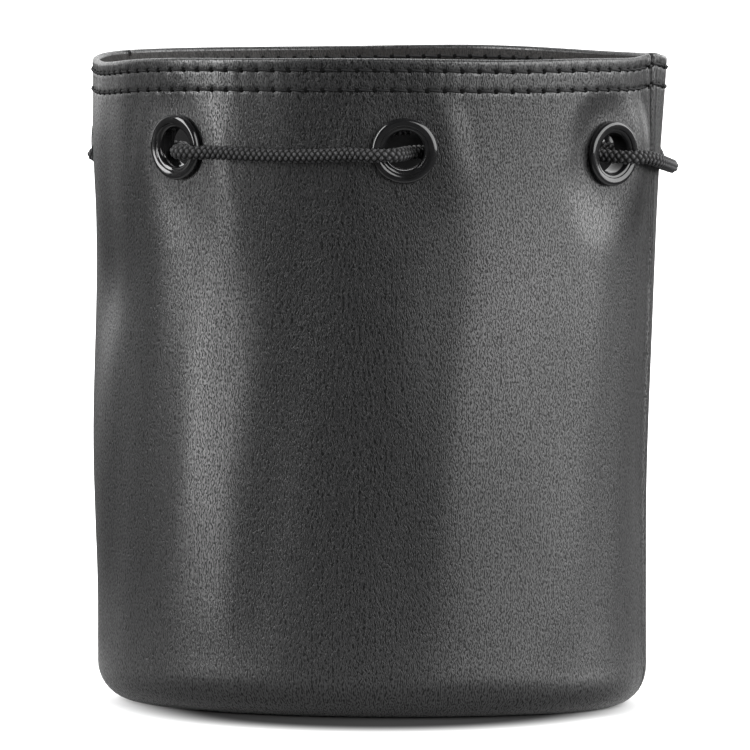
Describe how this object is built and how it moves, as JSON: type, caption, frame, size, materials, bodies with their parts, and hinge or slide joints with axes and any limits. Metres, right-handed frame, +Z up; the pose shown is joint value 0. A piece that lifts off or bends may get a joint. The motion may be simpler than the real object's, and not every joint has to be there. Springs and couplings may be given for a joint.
{
  "type": "drawstring valuables pouch",
  "caption": "Oval stand-up leather-look pouch with an open mouth, a braided drawstring threaded through eyelets, and a sliding push-button cord lock at the rear.",
  "frame": {"origin": "middle of the flat underside of the base, on the surface that the pouch stands on", "axes": "+Z up to the mouth, -Y to the front, +X to the right side seam seen from the front"},
  "size_m": [0.1426, 0.1358, 0.15],
  "materials": {
    "leather": "satin black grained leather-look sheet",
    "lining": "matt black woven lining",
    "board": "matt grey stiffener board",
    "eyelet_enamel": "gloss black enamel",
    "cord": "matt black braided cord",
    "lock_plastic": "fine matt black moulding",
    "spring_steel": "bright spring wire"
  },
  "bodies": {
    "pouch": {"front_panel": "leather", "rear_panel": "leather", "bottom_panel": "leather", "lining_front": "lining", "lining_rear": "lining", "lining_bottom": "lining", "bottom_board": "board", "eyelet_1": "eyelet_enamel", "eyelet_2": "eyelet_enamel", "eyelet_3": "eyelet_enamel", "eyelet_4": "eyelet_enamel", "eyelet_5": "eyelet_enamel", "eyelet_6": "eyelet_enamel", "eyelet_7": "eyelet_enamel", "eyelet_washer_1": "eyelet_enamel", "eyelet_washer_2": "eyelet_enamel", "eyelet_washer_3": "eyelet_enamel", "eyelet_washer_4": "eyelet_enamel", "eyelet_washer_5": "eyelet_enamel", "eyelet_washer_6": "eyelet_enamel", "eyelet_washer_7": "eyelet_enamel", "drawstring": "cord", "drawstring_tail_left": "cord", "drawstring_tail_right": "cord", "tail_knot_left": "cord", "tail_knot_right": "cord"},
    "cord_lock": {"lock_barrel": "lock_plastic", "lock_spring": "spring_steel"},
    "lock_button": {"lock_plunger": "lock_plastic"}
  },
  "joints": [
    {"name": "lock_slide", "type": "slide", "parent": "pouch", "child": "cord_lock", "axis": [0, 0, 1], "range_m": [-0.024, 0.02]},
    {"name": "plunger_press", "type": "slide", "parent": "cord_lock", "child": "lock_button", "axis": [0, -1, 0], "range_m": [0, 0.0034], "stiffness_N_per_m": 400, "springref_m": -0.004, "deforming": ["lock_spring"]}
  ]
}
